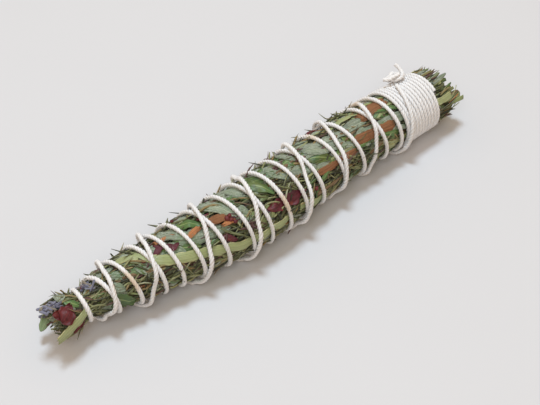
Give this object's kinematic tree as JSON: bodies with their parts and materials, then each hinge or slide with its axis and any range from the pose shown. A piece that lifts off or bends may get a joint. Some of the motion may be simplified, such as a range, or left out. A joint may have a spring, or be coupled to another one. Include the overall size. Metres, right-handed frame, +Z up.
{
  "type": "rosemary smudge stick",
  "caption": "Bundle of dried rosemary sprigs, sage and bay leaves, lemongrass, bark and petals, wound with cotton string and knotted over a collar near the cut stems.",
  "frame": {"origin": "on the resting surface under the middle of the bundle's box", "axes": "+X along the bundle from its leafy tip to its cut stems, +Y across it, +Z up from the resting surface"},
  "size_m": [0.2224, 0.0398, 0.0336],
  "materials": {
    "rosemary": "dried needles, matt, dark olive with pale undersides",
    "stem": "dry woody stems, cut across at their ends",
    "sage": "velvety grey-green leaf, matt",
    "bay": "dried green leaf, slightly glossy",
    "grass": "pale straw-green blade with veins along it",
    "petal": "dried rose petal, dark red to purple",
    "bark": "fibrous orange-brown bark",
    "lavender": "dusty blue-grey flower head",
    "string": "twisted off-white cotton, matt"
  },
  "bodies": {
    "root": {"rosemary_sprig_1": "rosemary", "rosemary_sprig_2": "rosemary", "rosemary_sprig_3": "rosemary", "rosemary_sprig_4": "rosemary", "rosemary_sprig_5": "rosemary", "rosemary_sprig_6": "rosemary", "rosemary_sprig_7": "rosemary", "rosemary_sprig_8": "rosemary", "woody_stem_1": "stem", "woody_stem_2": "stem", "woody_stem_3": "stem", "woody_stem_4": "stem", "sage_leaf_1": "sage", "sage_leaf_2": "sage", "sage_leaf_3": "sage", "sage_leaf_4": "sage", "sage_leaf_5": "sage", "sage_leaf_6": "sage", "sage_leaf_7": "sage", "sage_leaf_8": "sage", "sage_leaf_9": "sage", "sage_leaf_10": "sage", "sage_leaf_11": "sage", "sage_leaf_12": "sage", "sage_leaf_13": "sage", "bay_leaf_1": "bay", "bay_leaf_2": "bay", "bay_leaf_3": "bay", "bay_leaf_4": "bay", "bay_leaf_5": "bay", "bay_leaf_6": "bay", "bay_leaf_7": "bay", "grass_blade_1": "grass", "grass_blade_2": "grass", "grass_blade_3": "grass", "grass_blade_4": "grass", "grass_blade_5": "grass", "grass_blade_6": "grass", "bark_strip_1": "bark", "bark_strip_2": "bark", "bark_strip_3": "bark", "bark_strip_4": "bark", "petal_1": "petal", "petal_2": "petal", "petal_3": "petal", "petal_4": "petal", "petal_5": "petal", "petal_6": "petal", "lavender_head_1": "lavender", "lavender_head_2": "lavender", "lavender_head_3": "lavender", "binding_string": "string", "string_knot": "string"}
  },
  "joints": []
}
